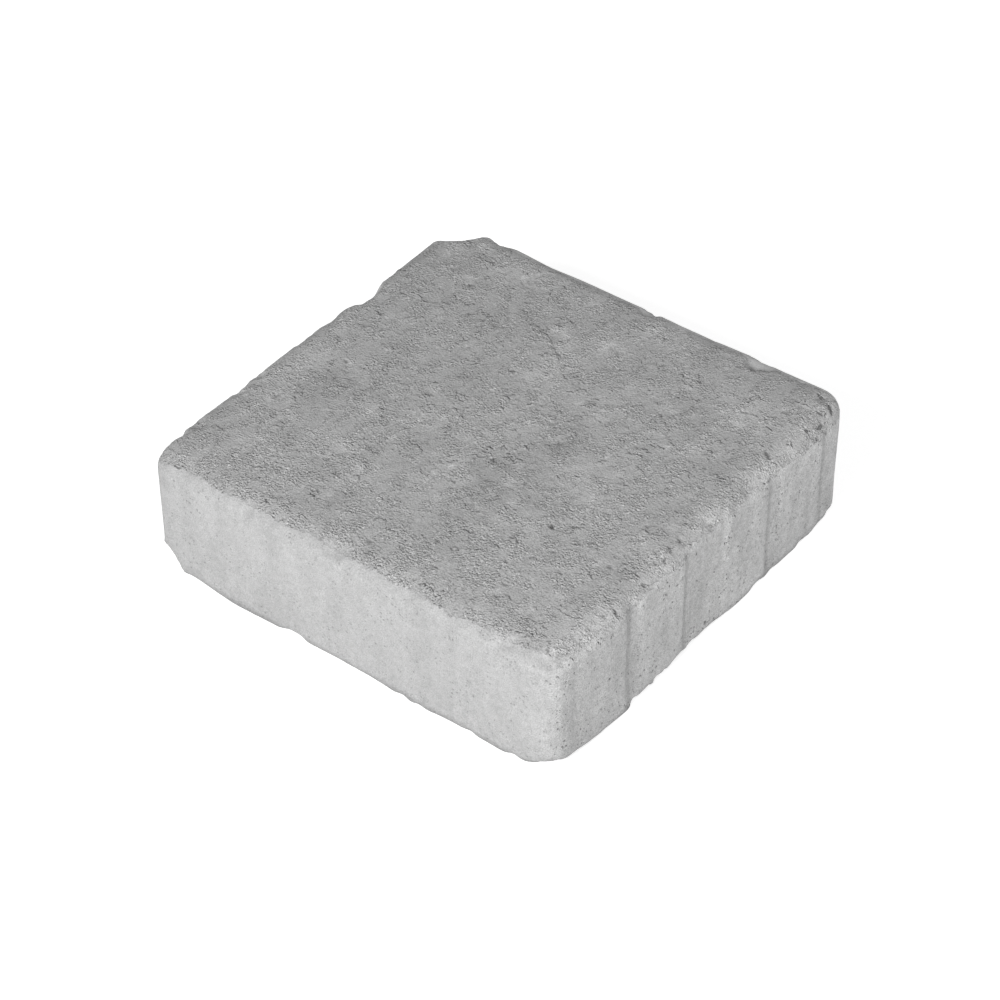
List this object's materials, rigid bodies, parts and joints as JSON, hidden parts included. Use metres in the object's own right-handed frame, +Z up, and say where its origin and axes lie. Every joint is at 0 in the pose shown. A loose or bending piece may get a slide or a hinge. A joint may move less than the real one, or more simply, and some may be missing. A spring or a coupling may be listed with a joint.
{
  "type": "concrete paving stone",
  "caption": "Square cast concrete paving stone with a rough wearing face, worn edges and moulded spacer panels on two opposite sides.",
  "frame": {"origin": "centre of the stone's footprint, on the bed face it lies on", "axes": "+Z up through the thickness, out of the rough wearing face; the spacer panels are on the +X and -X sides"},
  "size_m": [0.1728, 0.1716, 0.0484],
  "materials": {
    "concrete": "rough cast concrete, pitted and tumbled on the wearing face, smoother and paler on the sides"
  },
  "bodies": {
    "root": {"paving_stone": "concrete"}
  },
  "joints": []
}
